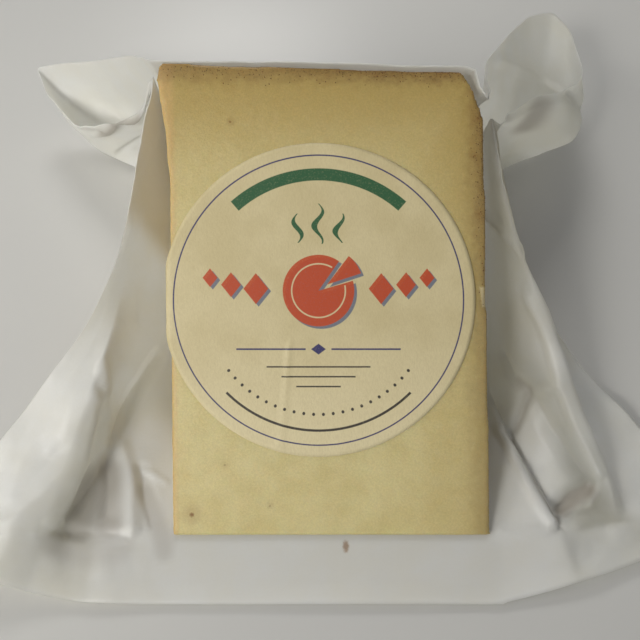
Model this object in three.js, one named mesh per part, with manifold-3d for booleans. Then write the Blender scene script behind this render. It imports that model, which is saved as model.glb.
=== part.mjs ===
// Smoked farmhouse cheese: a wedge cut from a small pressed wheel, with a round paper label on
// its upper cut face, lying on its lower cut face in its own opened waxed paper.
// Millimetres, +Z up. While the pieces are made, x runs across the wedge from flat to flat,
// y from the wedge's tip to its rind, and the paper lies on z = 0. The group is moved at the
// end, so that the origin is under the middle of the whole, on the surface that it stands on.

import * as THREE from 'three';
import { mergeVertices } from 'three/addons/utils/BufferGeometryUtils.js';
import Module from 'manifold-3d';

const wasm = await Module();
wasm.setup();

// Gaps and thicknesses
const gap = 0.3; // between two pieces that touch
const weld = 1e-4; // points nearer than this are one
const paperThickness = 0.5;
const labelThickness = 0.2;

// The wheel that the wedge is cut from, and the wedge
const wheelRadius = 96.3;
const rimTaper = 1.8; // the rim is this much smaller on the right
const leftFlat = -32.6; // the two flats, measured at the wheel's axis
const rightFlat = 32.8;
const rightLean = 2.4; // the right flat leans in by this much towards the rim
const lipOut = 2.3; // the left flat turns out into a lip at the rim
const lipLength = 12;
const lipRound = 1.6;
const shoulderDepth = 9.2; // the right edge of the rim is worn off
const shoulderWidth = 4.6;
const sectorAngle = THREE.MathUtils.degToRad(36);
const tipBlunt = 0.7;
const wheelSegments = 120;
const axisY = -1.2;
const cheeseBottom = paperThickness + gap;
const chip = { along: 49, long: 3.8, deep: 0.9 }; // a small chip in the right upper edge

// The label
const labelRadius = 31.6;
const labelAcross = -2.6; // its middle, across the face and along it from the axis
const labelAlong = 48.9;
const labelRings = 12;
const labelSectors = 60;
const labelBend = 0.6; // radius of its bend over the wedge's left edge

// The paper: its rows run across and its fold lines run from the near edge to the far corners
const nearEdge = -13.8;
const rindGap = 1; // between the rind and the far wall
const farFold = axisY + wheelRadius + rindGap;
const cornerIn = 2.5; // the far wall's right end leans in over the worn edge of the rind
const nearRows = 6;
const wallRows = 38;
const baseColumns = 14;
const edgeLift = 0.7; // how far the near edge curls up
const curlWidth = 5;
const nearBendFrom = 12; // the near edge bends back over this stretch
const farLeanFrom = 50; // the walls lean in over the rind from here on
const cornerRun = 1.3 * shoulderWidth; // over this width the far wall follows the worn edge
const cornerWorn = 0.65 * shoulderDepth;
const crumple = 0.55; // height of the soft waves
const crumpleFrom = 12; // they grow to full height over this distance from the cheese
const waveList = [ // per millimetre along x, y and z, and the phase
  [0.31, 0.17, 0, 1.3],
  [0, 0.23, -0.29, 0.4],
  [0.47, -0.47, 0.21, 2.1],
];
const earSteps = 4; // rows between two lines of an ear

// Each fold line of a side is a list of [y, distance from the middle, height], and steps is
// how many columns lie between it and the line before. The first is the wall's foot.
const leftFolds = [
  { steps: 1, points: [[-13.8, 33.5, 0], [72, 33.5, 0], [86, 36, 0], [96.1, 36, 0]] },
  { steps: 3, points: [
    [-13.8, 42, 0.2], [1, 43, 0.3], [12, 44.6, 0.6], [25, 45, 3.5], [38, 39.5, 9],
    [62, 36.6, 17], [96.1, 36.4, 18],
  ] },
  { steps: 2, points: [
    [-13.8, 50, 0.3], [1, 55.2, 0.6], [12, 50.6, 1.6], [25, 47, 7], [38, 42.3, 14],
    [62, 38.2, 25], [96.1, 36.8, 28],
  ] },
  { steps: 1, points: [
    [-13.8, 56, 0.8], [-4, 56.6, 2.4], [1, 56.8, 5.2], [12, 53.3, 8.6], [25, 49, 16],
    [38, 45.6, 21], [62, 40, 31], [96.1, 37.2, 38],
  ] },
  { steps: 2, points: [
    [-13.8, 63.5, 3.6], [1, 64.5, 6.2], [12, 63, 8.8], [25, 55, 15.4], [38, 48, 22],
    [62, 41, 34], [96.1, 37.4, 44],
  ] },
  { steps: 3, points: [
    [-13.8, 81, 1], [1, 79, 3], [12, 71.5, 7.5], [25, 61, 14], [38, 50.5, 22.6],
    [50, 44.5, 29.5], [62, 42, 36.4], [96.1, 37.6, 50.5],
  ] },
];
const rightFolds = [
  { steps: 1, points: [[-13.8, 33.5, 0], [96.1, 33.5, 0]] },
  { steps: 2, points: [
    [-13.8, 49, 0.2], [1, 46.2, 1.6], [12, 42.4, 2.2], [25, 37.4, 1.8], [38, 34.4, 1.5],
    [96.1, 33.8, 3],
  ] },
  { steps: 1, points: [
    [-13.8, 50, 0.1], [1, 47, 0.3], [12, 43.4, 0.4], [25, 38.6, 0.9], [38, 35.6, 3],
    [62, 34.5, 8], [96.1, 34, 8],
  ] },
  { steps: 3, points: [
    [-13.8, 55, 0.2], [1, 56.5, 1.2], [9, 55.6, 4.8], [25, 45.4, 8.8], [38, 41, 14],
    [62, 35.8, 24], [96.1, 34.2, 26],
  ] },
  { steps: 2, points: [
    [-13.8, 60, 0.4], [1, 59, 1.6], [9, 57.4, 5], [25, 51.4, 12], [38, 46.8, 20],
    [50, 39.3, 31.5], [62, 36.3, 37.5], [96.1, 33.4, 46],
  ] },
  { steps: 1, points: [
    [-13.8, 66, 0.5], [1, 62, 0.6], [12, 60, 0.9], [25, 55.5, 2.5], [38, 51, 9],
    [50, 42.5, 24], [62, 38.6, 32], [96.1, 34.4, 43],
  ] },
  { steps: 2, points: [
    [-13.8, 82, 1.2], [1, 80, 1], [12, 76.5, 1], [25, 67.2, 1.2], [38, 57.6, 2],
    [50, 47, 12], [62, 41, 26], [96.1, 35.6, 39.5],
  ] },
];

// Each side: how far its wall leans in over the rind for each unit of height, how high the far
// wall reaches round the wheel, how the near edge bends, and the lines of the ear's folds. Each
// of those runs from the corner on the ground out to the paper's edge.
const sides = [
  {
    sign: -1,
    folds: leftFolds,
    lean: 0.31,
    farRise: THREE.MathUtils.degToRad(35.4),
    bend: { from: 45, size: 0.034, power: 1.5 },
    ear: [
      [[49.5, 104, 7], [47.5, 98, 18], [44.4, 88, 34]],
      [[57, 104, 4.5], [56.7, 103, 12], [53.6, 97, 24]],
      [[63, 106, 3.5], [65.7, 106, 8], [65.2, 102, 16]],
      [[66, 110, 4], [72.9, 114, 9], [77.6, 117, 14]],
      [[65, 116, 4.5], [75, 122, 10], [81.5, 126, 17]],
      [[60, 119, 7], [66, 122, 14], [71.6, 124, 20]],
      [[54, 116, 10], [58, 118, 18], [61.5, 120, 24]],
      [[46, 107, 18], [46.4, 104, 31], [48, 104, 38]],
    ],
  },
  {
    sign: 1,
    folds: rightFolds,
    lean: 0.5,
    farRise: THREE.MathUtils.degToRad(36.8),
    bend: { from: 31, size: 0.0793, power: 1.35 },
    ear: [
      [[47.4, 101, 8], [45, 95, 20], [42.1, 87, 34]],
      [[50, 101, 7], [52.4, 99, 16], [51, 96.5, 31]],
      [[54, 101.6, 6], [59.5, 100.5, 12], [61, 104.7, 26]],
      [[59.4, 104, 6], [66.6, 103, 13], [69, 119, 21]],
      [[59, 110, 5], [67, 122, 13], [69, 137, 20]],
      [[55, 116, 6], [62, 132, 13], [64.5, 145, 21]],
      [[49, 114, 8], [53, 128, 16], [55.8, 141, 22]],
      [[43, 108, 13], [45.5, 116, 21], [47.5, 128, 25]],
      [[38, 102, 20], [38, 101, 32], [36.2, 101, 38]],
    ],
  },
];

// A smooth line through a fold's points, read at a given y
function foldAt(points, y) {
  let k = 0;
  while (k < points.length - 2 && y > points[k + 1][0]) k += 1;
  const before = points[Math.max(k - 1, 0)];
  const a = points[k];
  const b = points[k + 1];
  const after = points[Math.min(k + 2, points.length - 1)];
  const span = b[0] - a[0];
  const t = THREE.MathUtils.clamp((y - a[0]) / span, 0, 1);
  const value = [1, 2].map((n) => {
    const slopeA = (b[n] - before[n]) / (b[0] - before[0]);
    const slopeB = (after[n] - a[n]) / (after[0] - a[0]);
    const h = t * t * (3 - 2 * t);
    return a[n] * (1 - h) + b[n] * h
      + span * (slopeA * t * (1 - t) * (1 - t) - slopeB * t * t * (1 - t));
  });
  return { x: value[0], z: value[1] };
}

// Soft uneven waves, from -1 to 1
function waves(x, y, z) {
  const all = waveList.map(([a, b, c, phase]) => Math.sin(a * x + b * y + c * z + phase));
  return all.reduce((sum, wave) => sum + wave) / all.length;
}

// A surface made of welded grids of points, then given a thickness
class Sheet {
  constructor() {
    this.points = [];
    this.triangles = [];
    this.found = new Map();
  }

  add(point) {
    const key = point.toArray().map((c) => Math.round(c / (10 * weld))).join();
    if (!this.found.has(key)) {
      this.found.set(key, this.points.length);
      this.points.push(point);
    }
    return this.found.get(key);
  }

  // rows of points, whose faces look up where rows run along +y and points along +x
  grid(rows) {
    const ids = rows.map((row) => row.map((p) => this.add(p)));
    for (let j = 0; j + 1 < ids.length; j += 1) {
      for (let i = 0; i + 1 < ids[j].length; i += 1) {
        const [a, b, c, d] = [ids[j][i], ids[j][i + 1], ids[j + 1][i + 1], ids[j + 1][i]];
        for (const t of [[a, b, c], [a, c, d]]) {
          if (new Set(t).size === 3) this.triangles.push(t);
        }
      }
    }
  }

  normals() {
    const sums = this.points.map(() => new THREE.Vector3());
    for (const [a, b, c] of this.triangles) {
      const ab = this.points[b].clone().sub(this.points[a]);
      const ac = this.points[c].clone().sub(this.points[a]);
      const face = ab.cross(ac);
      for (const i of [a, b, c]) sums[i].add(face);
    }
    return sums.map((n) => n.normalize());
  }

  // The closed solid between the surface and its copy that lies thickness above it
  thicken(thickness) {
    const count = this.points.length;
    const normals = this.normals();
    const upper = this.points.map((p, i) => p.clone().addScaledVector(normals[i], thickness));
    const index = [];
    const open = new Map();
    for (const [a, b, c] of this.triangles) {
      index.push(a, c, b, a + count, b + count, c + count);
      for (const [p, q] of [[a, b], [b, c], [c, a]]) {
        if (!open.delete(`${q},${p}`)) open.set(`${p},${q}`, [p, q]);
      }
    }
    for (const [p, q] of open.values()) index.push(p, q, q + count, p, q + count, p + count);
    const geometry = new THREE.BufferGeometry();
    const flat = [...this.points, ...upper].flatMap((p) => p.toArray());
    geometry.setAttribute('position', new THREE.Float32BufferAttribute(flat, 3));
    geometry.setIndex(index);
    return geometry;
  }
}

function toSolid(geometry) {
  const bare = geometry.clone();
  bare.deleteAttribute('normal');
  bare.deleteAttribute('uv');
  const merged = mergeVertices(bare, weld);
  return new wasm.Manifold(new wasm.Mesh({
    numProp: 3,
    vertProperties: new Float32Array(merged.attributes.position.array),
    triVerts: new Uint32Array(merged.index.array),
  }));
}

function toGeometry(solid) {
  const mesh = solid.getMesh();
  const geometry = new THREE.BufferGeometry();
  geometry.setAttribute('position', new THREE.BufferAttribute(mesh.vertProperties, 3));
  geometry.setIndex(new THREE.BufferAttribute(mesh.triVerts, 1));
  return geometry;
}

// The whole wheel, turned about its axis, which lies along x through the wedge's tip
function wheel() {
  const rimLeft = leftFlat - lipOut;
  const rimRight = rightFlat - rightLean;
  const outline = [
    [0, leftFlat],
    [wheelRadius - 2 * lipLength, leftFlat],
    [wheelRadius - lipLength, leftFlat - 0.4 * lipOut],
    [wheelRadius - 2 * lipRound, rimLeft],
    [wheelRadius - 0.3 * lipRound, rimLeft + 0.3 * lipRound],
    [wheelRadius, rimLeft + lipRound],
    [wheelRadius - rimTaper, rimRight - shoulderWidth],
    [wheelRadius - rimTaper - 0.3 * shoulderDepth, rimRight - 0.55 * shoulderWidth],
    [wheelRadius - rimTaper - shoulderDepth, rimRight],
    [0, rightFlat],
  ].map(([radius, across]) => new THREE.Vector2(radius, across));
  return toSolid(new THREE.LatheGeometry(outline, wheelSegments)
    .rotateZ(-Math.PI / 2).translate(0, axisY, cheeseBottom));
}

// The knife's two cuts: a wide wedge with its edge on the wheel's axis
function cut() {
  const reach = 1.2 * wheelRadius;
  const width = 2.5 * rightFlat;
  const outline = new THREE.Shape([
    [tipBlunt, 0],
    [reach, 0],
    [reach * Math.cos(sectorAngle), reach * Math.sin(sectorAngle)],
    [tipBlunt, tipBlunt * Math.tan(sectorAngle)],
  ].map(([y, z]) => new THREE.Vector2(y, z)));
  const turn = new THREE.Matrix4().makeBasis(
    new THREE.Vector3(0, 1, 0), new THREE.Vector3(0, 0, 1), new THREE.Vector3(1, 0, 0));
  return toSolid(new THREE.ExtrudeGeometry(outline, { depth: width, bevelEnabled: false })
    .applyMatrix4(turn).translate(-width / 2, axisY, cheeseBottom));
}

// A point of the upper cut face: across it, along it from the axis, and above it
function onFace(across, along, above) {
  return new THREE.Vector3(
    across,
    axisY + along * Math.cos(sectorAngle) - above * Math.sin(sectorAngle),
    cheeseBottom + along * Math.sin(sectorAngle) + above * Math.cos(sectorAngle));
}

function cheeseGeometry() {
  const edge = rightFlat - rightLean * (chip.along / wheelRadius);
  const middle = onFace(edge, chip.along, 0);
  const notch = toSolid(new THREE.SphereGeometry(1, 16, 10)
    .scale(chip.deep, chip.long / 2, chip.deep)
    .rotateX(sectorAngle).translate(middle.x, middle.y, middle.z));
  return toGeometry(wheel().intersect(cut()).subtract(notch));
}

// A disc that lies on the face and bends down over the wedge's left edge
function labelGeometry() {
  const sheet = new Sheet();
  const place = (across, along) => {
    const past = leftFlat - gap - across;
    if (past <= 0) return onFace(across, along, gap);
    const turn = Math.min(past / labelBend, Math.PI / 2);
    const rest = Math.max(0, past - labelBend * Math.PI / 2);
    return onFace(
      leftFlat - gap - labelBend * Math.sin(turn),
      along,
      gap - labelBend * (1 - Math.cos(turn)) - rest);
  };
  const rows = [];
  for (let r = 0; r <= labelRings; r += 1) {
    const row = [];
    for (let s = 0; s <= labelSectors; s += 1) {
      const angle = -2 * Math.PI * (s % labelSectors) / labelSectors;
      const radius = labelRadius * Math.sqrt(r / labelRings);
      row.push(place(labelAcross + radius * Math.cos(angle), labelAlong + radius * Math.sin(angle)));
    }
    rows.push(row);
  }
  sheet.grid(rows);
  return sheet.thicken(labelThickness);
}

function footX(side, y) {
  return foldAt(side.folds[0].points, y).x;
}

// One row of a side wall, from its foot out to the paper's edge
function sideRow(side, y) {
  const lines = side.folds.map((fold) => foldAt(fold.points, y));
  const row = [[lines[0].x, lines[0].z]];
  for (let k = 1; k < lines.length; k += 1) {
    const { steps } = side.folds[k];
    for (let s = 1; s <= steps; s += 1) {
      row.push([
        THREE.MathUtils.lerp(lines[k - 1].x, lines[k].x, s / steps),
        THREE.MathUtils.lerp(lines[k - 1].z, lines[k].z, s / steps),
      ]);
    }
  }
  const near = THREE.MathUtils.smoothstep(-y, -nearBendFrom, -nearEdge);
  const far = THREE.MathUtils.smoothstep(y, farLeanFrom, farFold);
  return row.map(([x, z]) => {
    const out = Math.max(0, x - side.bend.from);
    const free = THREE.MathUtils.smoothstep(x - footX(side, y), 0, crumpleFrom);
    const rise = z + free * crumple * (1 + waves(side.sign * x, y, z));
    return new THREE.Vector3(
      side.sign * x,
      y + near * side.bend.size * out ** side.bend.power - far * side.lean * z,
      rise + curl(y));
  });
}

function curl(y) {
  return edgeLift * THREE.MathUtils.smoothstep(-y, -nearEdge - curlWidth, -nearEdge);
}

// The far wall stands against the rind: its height is a turn about the wheel's axis
function farPoint(x, share) {
  const across = (x - (leftFlat - lipOut)) / (rightFlat - rightLean - leftFlat + lipOut);
  const turn = share * THREE.MathUtils.lerp(sides[0].farRise, sides[1].farRise, across);
  const edge = footX(sides[1], farFold);
  const corner = THREE.MathUtils.smoothstep(x, edge - cornerRun, edge);
  const radius = wheelRadius + rindGap - share * (rimTaper * across + cornerWorn * corner);
  return new THREE.Vector3(
    x - share * cornerIn * corner,
    axisY + radius * Math.cos(turn),
    share * cheeseBottom + radius * Math.sin(turn));
}

function paperGeometry() {
  const sheet = new Sheet();
  const rowsY = [];
  for (let j = 0; j < nearRows; j += 1) rowsY.push(THREE.MathUtils.lerp(nearEdge, 0, j / nearRows));
  for (let j = 0; j <= wallRows; j += 1) rowsY.push(THREE.MathUtils.lerp(0, farFold, j / wallRows));
  const baseRow = (y) => {
    const row = [];
    for (let i = 0; i <= baseColumns; i += 1) {
      row.push(THREE.MathUtils.lerp(-footX(sides[0], y), footX(sides[1], y), i / baseColumns));
    }
    return row;
  };
  const [left, right] = sides.map((side) => rowsY.map((y) => sideRow(side, y)));
  sheet.grid(rowsY.map((y, j) => [
    ...left[j].slice(1).reverse(),
    ...baseRow(y).map((x) => new THREE.Vector3(x, y, curl(y))),
    ...right[j].slice(1),
  ]));

  // far wall, with as many rows as a side wall has columns
  const lastLeft = left[left.length - 1];
  const lastRight = right[right.length - 1];
  const farRow = (share) => baseRow(farFold).map((x) => farPoint(x, share));
  const shares = lastLeft.map((_, k) => k / (lastLeft.length - 1));
  sheet.grid(shares.map(farRow));

  // ears: the gussets between a side wall and the far wall
  for (const [side, wallEnd] of [[sides[0], lastLeft], [sides[1], lastRight]]) {
    const farEnd = shares.map((share) => farPoint(side.sign * footX(side, farFold), share));
    const corner = wallEnd[0];
    const lines = side.ear.map((points) => {
      const through = [corner, ...points.map(([x, y, z]) => new THREE.Vector3(side.sign * x, y, z))];
      return new THREE.CatmullRomCurve3(through).getPoints(wallEnd.length - 1);
    });
    const all = [wallEnd, ...lines, farEnd];
    const rows = [];
    all.forEach((line, k) => {
      if (k === 0) return;
      for (let s = k === 1 ? 0 : 1; s <= earSteps; s += 1) {
        rows.push(line.map((p, n) => all[k - 1][n].clone().lerp(p, s / earSteps)));
      }
    });
    sheet.grid(side.sign < 0 ? rows.map((row) => [...row].reverse()) : rows);
  }
  return sheet.thicken(paperThickness);
}

function piece(name, geometry, look) {
  const mesh = new THREE.Mesh(geometry, new THREE.MeshStandardMaterial(look));
  mesh.name = name;
  return mesh;
}

const group = new THREE.Group();
group.add(
  piece('cheese', cheeseGeometry(), { color: 0xc9b27c, roughness: 0.45, metalness: 0 }),
  piece('label', labelGeometry(), { color: 0xd8c79d, roughness: 0.6, metalness: 0 }),
  piece('paper', paperGeometry(), { color: 0xd6d2c6, roughness: 0.4, metalness: 0 }),
);
const box = new THREE.Box3().setFromObject(group);
const middle = box.getCenter(new THREE.Vector3());
group.position.set(-middle.x, -middle.y, -box.min.z);
group.updateMatrixWorld(true);

export default group;
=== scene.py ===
# Smoked farmhouse cheese: a wedge with a round label, lying in its own opened waxed paper
import math

import bmesh
import bpy
import numpy as np
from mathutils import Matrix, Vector


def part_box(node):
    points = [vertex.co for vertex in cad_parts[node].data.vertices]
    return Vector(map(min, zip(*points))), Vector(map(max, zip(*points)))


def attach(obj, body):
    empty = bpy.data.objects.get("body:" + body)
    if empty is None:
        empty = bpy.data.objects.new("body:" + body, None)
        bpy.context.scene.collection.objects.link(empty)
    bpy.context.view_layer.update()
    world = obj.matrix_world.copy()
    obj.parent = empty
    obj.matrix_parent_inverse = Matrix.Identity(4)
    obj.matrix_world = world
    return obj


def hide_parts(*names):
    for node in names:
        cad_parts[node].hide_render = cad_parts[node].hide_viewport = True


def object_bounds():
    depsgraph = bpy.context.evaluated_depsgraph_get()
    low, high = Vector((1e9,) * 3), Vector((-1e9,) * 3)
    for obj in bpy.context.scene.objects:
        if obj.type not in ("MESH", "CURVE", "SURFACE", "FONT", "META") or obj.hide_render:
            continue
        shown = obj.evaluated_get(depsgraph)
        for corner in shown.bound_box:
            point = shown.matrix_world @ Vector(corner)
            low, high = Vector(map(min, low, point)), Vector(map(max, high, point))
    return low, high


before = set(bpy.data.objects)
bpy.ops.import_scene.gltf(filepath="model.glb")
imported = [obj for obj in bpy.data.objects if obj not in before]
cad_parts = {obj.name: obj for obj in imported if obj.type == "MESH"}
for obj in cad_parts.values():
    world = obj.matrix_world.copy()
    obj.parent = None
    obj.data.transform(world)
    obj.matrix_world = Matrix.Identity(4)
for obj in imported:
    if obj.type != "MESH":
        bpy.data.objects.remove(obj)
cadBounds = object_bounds()
print("solids loaded")

# The wedge's own axes in millimetres: x across it, y from its tip to its rind, paper on z = 0
wedge = {
    "radius": 96.3,
    "rimTaper": 1.8,
    "leftFlat": -32.6,
    "rightFlat": 32.8,
    "rightLean": 2.4,
    "lipOut": 2.3,
    "shoulderDepth": 9.2,
    "shoulderWidth": 4.6,
    "slope": math.radians(36),
    "tipBlunt": 0.7,
    "axisY": -1.2,
    "bottom": 0.8,
}
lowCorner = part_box("cheese")[0]
originMm = np.array([
    lowCorner[0] * 1000 - wedge["leftFlat"] + wedge["lipOut"],
    lowCorner[1] * 1000 - wedge["axisY"] - wedge["tipBlunt"],
    0.0,
])
faceUp = np.array([0.0, -math.sin(wedge["slope"]), math.cos(wedge["slope"])])
faceAlong = np.array([0.0, math.cos(wedge["slope"]), math.sin(wedge["slope"])])
faceFoot = np.array([0.0, wedge["axisY"], wedge["bottom"]])


def inMetres(pointsMm):
    return (np.asarray(pointsMm, float) + originMm) * 0.001


def inMillimetres(points):
    return np.asarray(points, float) * 1000 - originMm


def step(values, low, high):
    t = np.clip((values - low) / (high - low), 0, 1)
    return t * t * (3 - 2 * t)


def hashed(i, j, seed):
    # a fixed pseudo-random height from 0 to 1 for each corner of a lattice
    value = np.sin(i * 127.1 + j * 311.7 + seed * 74.7) * 43758.5453
    return value - np.floor(value)


def facets(x, y, seed):
    # heights on a triangular lattice of unit cells, joined by flat faces: crumpled paper
    skew = (x + y) * 0.36602540378
    i = np.floor(x + skew)
    j = np.floor(y + skew)
    fx = x + skew - i
    fy = y + skew - j
    lower = fx > fy
    a = hashed(i, j, seed)
    b = np.where(lower, hashed(i + 1, j, seed), hashed(i, j + 1, seed))
    c = hashed(i + 1, j + 1, seed)
    high = np.where(lower, fx, fy)
    low = np.where(lower, fy, fx)
    return a * (1 - high) + b * (high - low) + c * low - 0.5


def softNoise(x, y, seed):
    # smooth hills on a unit lattice, from -0.5 to 0.5
    i = np.floor(x)
    j = np.floor(y)
    fx = step(x - i, 0, 1)
    fy = step(y - j, 0, 1)
    near = hashed(i, j, seed) * (1 - fx) + hashed(i + 1, j, seed) * fx
    far = hashed(i, j + 1, seed) * (1 - fx) + hashed(i + 1, j + 1, seed) * fx
    return near * (1 - fy) + far * fy - 0.5


def meshObject(name, points, faces, uvs=None):
    mesh = bpy.data.meshes.new(name)
    mesh.from_pydata([tuple(p) for p in points], [], faces)
    if uvs is not None:
        layer = mesh.uv_layers.new(name="flat")
        corners = np.zeros(len(mesh.loops), dtype=np.int64)
        mesh.loops.foreach_get("vertex_index", corners)
        layer.data.foreach_set("uv", np.asarray(uvs, np.float32)[corners].ravel())
    mesh.shade_smooth()
    made = bpy.data.objects.new(name, mesh)
    bpy.context.collection.objects.link(made)
    return made


def applyModifiers(piece):
    bpy.context.view_layer.update()
    done = bpy.data.meshes.new_from_object(piece.evaluated_get(bpy.context.evaluated_depsgraph_get()))
    piece.modifiers.clear()
    piece.data = done
    return piece


def pointsOf(mesh):
    flat = np.zeros(len(mesh.vertices) * 3)
    mesh.vertices.foreach_get("co", flat)
    return flat.reshape(-1, 3)


def normalsOf(mesh):
    flat = np.zeros(len(mesh.vertices) * 3)
    mesh.vertex_normals.foreach_get("vector", flat)
    return flat.reshape(-1, 3)


def setPoints(mesh, points):
    mesh.vertices.foreach_set("co", np.asarray(points, float).ravel())
    mesh.update()


def setAttribute(mesh, name, values):
    layer = mesh.attributes.new(name, "FLOAT", "POINT")
    layer.data.foreach_set("value", np.asarray(values, np.float32))


def addNode(tree, kind, settings=None, inputs=None):
    # the settings are set first, then each socket gets its value or its link
    made = tree.nodes.new(kind)
    for key, value in (settings or {}).items():
        setattr(made, key, value)
    for key, value in (inputs or {}).items():
        socket = getattr(value, "socket", value)
        if isinstance(socket, bpy.types.NodeSocket):
            tree.links.new(socket, made.inputs[key])
        else:
            made.inputs[key].default_value = value
    return made


# Shader maths: a wire can be added to, taken from and multiplied by wires and numbers
class Wire:
    def __init__(self, finish, socket):
        self.finish = finish
        self.socket = socket

    def __add__(self, other):
        return self.finish.maths("ADD", self, other)

    def __sub__(self, other):
        return self.finish.maths("SUBTRACT", self, other)

    def __rsub__(self, other):
        return self.finish.maths("SUBTRACT", other, self)

    def __mul__(self, other):
        return self.finish.maths("MULTIPLY", self, other)

    def __abs__(self):
        return self.finish.maths("ABSOLUTE", self)

    __radd__ = __add__
    __rmul__ = __mul__


class Finish:
    def __init__(self, name):
        self.material = bpy.data.materials.new(name)
        self.material.use_nodes = True
        self.tree = self.material.node_tree
        self.tree.nodes.clear()

    def node(self, kind, settings=None, inputs=None, out=0):
        return Wire(self, addNode(self.tree, kind, settings, inputs).outputs[out])

    def maths(self, operation, *values):
        return self.node("ShaderNodeMath", {"operation": operation}, dict(enumerate(values)))

    def vector(self, operation, values, out=0):
        return self.node("ShaderNodeVectorMath", {"operation": operation}, values, out)

    def smaller(self, a, b):
        return self.maths("MINIMUM", a, b)

    def larger(self, a, b):
        return self.maths("MAXIMUM", a, b)

    def fade(self, value, low, high, start=0.0, end=1.0):
        return self.node("ShaderNodeMapRange", {"interpolation_type": "SMOOTHSTEP"}, {
            "Value": value, "From Min": low, "From Max": high, "To Min": start, "To Max": end})

    def noise(self, place, scale, detail, roughness):
        return self.node("ShaderNodeTexNoise", {}, {
            "Vector": place, "Scale": scale, "Detail": detail, "Roughness": roughness})

    def blend(self, share, first, second, kind="MIX"):
        return self.node("ShaderNodeMix", {"data_type": "RGBA", "blend_type": kind},
                         {0: share, 6: first, 7: second}, out=2)

    def bump(self, height, depth, strength):
        return self.node("ShaderNodeBump", {}, {"Height": height, "Distance": depth, "Strength": strength})

    def objectPlace(self):
        # the wedge's own axes, in millimetres
        place = self.node("ShaderNodeTexCoord", {}, {}, out=3)
        scaled = self.vector("SCALE", {0: place, "Scale": 1000.0})
        return self.vector("SUBTRACT", {0: scaled, 1: tuple(originMm)})

    def split(self, place):
        first = self.node("ShaderNodeSeparateXYZ", {}, {0: place})
        return [Wire(self, socket) for socket in first.socket.node.outputs]

    def close(self, inputs, through=None):
        # through is the share of light that a thin sheet lets pass
        shader = self.node("ShaderNodeBsdfPrincipled", {}, inputs)
        if through is not None:
            thin = self.node("ShaderNodeBsdfTranslucent", {}, {"Color": inputs["Base Color"]})
            shader = self.node("ShaderNodeMixShader", {}, {0: through, 1: shader, 2: thin})
        addNode(self.tree, "ShaderNodeOutputMaterial", {}, {"Surface": shader})
        return self.material


def colour(red, green, blue):
    # a colour given as 0-255 screen values
    linear = []
    for value in (red, green, blue):
        v = value / 255
        linear.append(v / 12.92 if v <= 0.04045 else ((v + 0.055) / 1.055) ** 2.4)
    return (*linear, 1.0)


# Cheese
cheeseLook = {
    "voxel": 0.00065,
    "unevenness": 0.16,
    "grain": 0.03,
    "rimUnevenness": 0.3,
    "inset": 0.12,  # keeps the uneven faces inside the solid
    "paste": colour(234, 220, 163),
    "pasteDeep": colour(225, 208, 147),
    "smoked": colour(193, 166, 96),
    "leftRind": colour(214, 182, 120),
    "leftSide": colour(207, 182, 130),
    "rind": colour(152, 116, 64),
    "rindDark": colour(96, 64, 34),
    "chip": colour(226, 210, 164),
    "mark": colour(138, 90, 44),
    "hazeMost": 0.92,
    "leftShare": 0.85,
    "rightShare": 0.62,
    "rimShare": 0.85,
    "bumpDepth": 0.00012,
    "bumpStrength": 0.5,
    "subsurface": 0.35,
    "subsurfaceScale": 0.0025,
    "marks": [  # across and along the upper face, radius, share of brown
        (-28.5, 5.3, 0.75, 0.85), (-20.2, 84.7, 0.35, 0.7), (-21.7, 15.6, 0.3, 0.5),
        (-12.5, 7.1, 0.3, 0.5), (29.1, 85.4, 0.5, 0.6), (28.6, 78.0, 0.35, 0.6), (29.6, 66.5, 0.4, 0.5),
    ],
}


def facePlace(points):
    # across, along and above the upper cut face
    local = points - faceFoot
    return points[:, 0], local @ faceAlong, local @ faceUp


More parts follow.
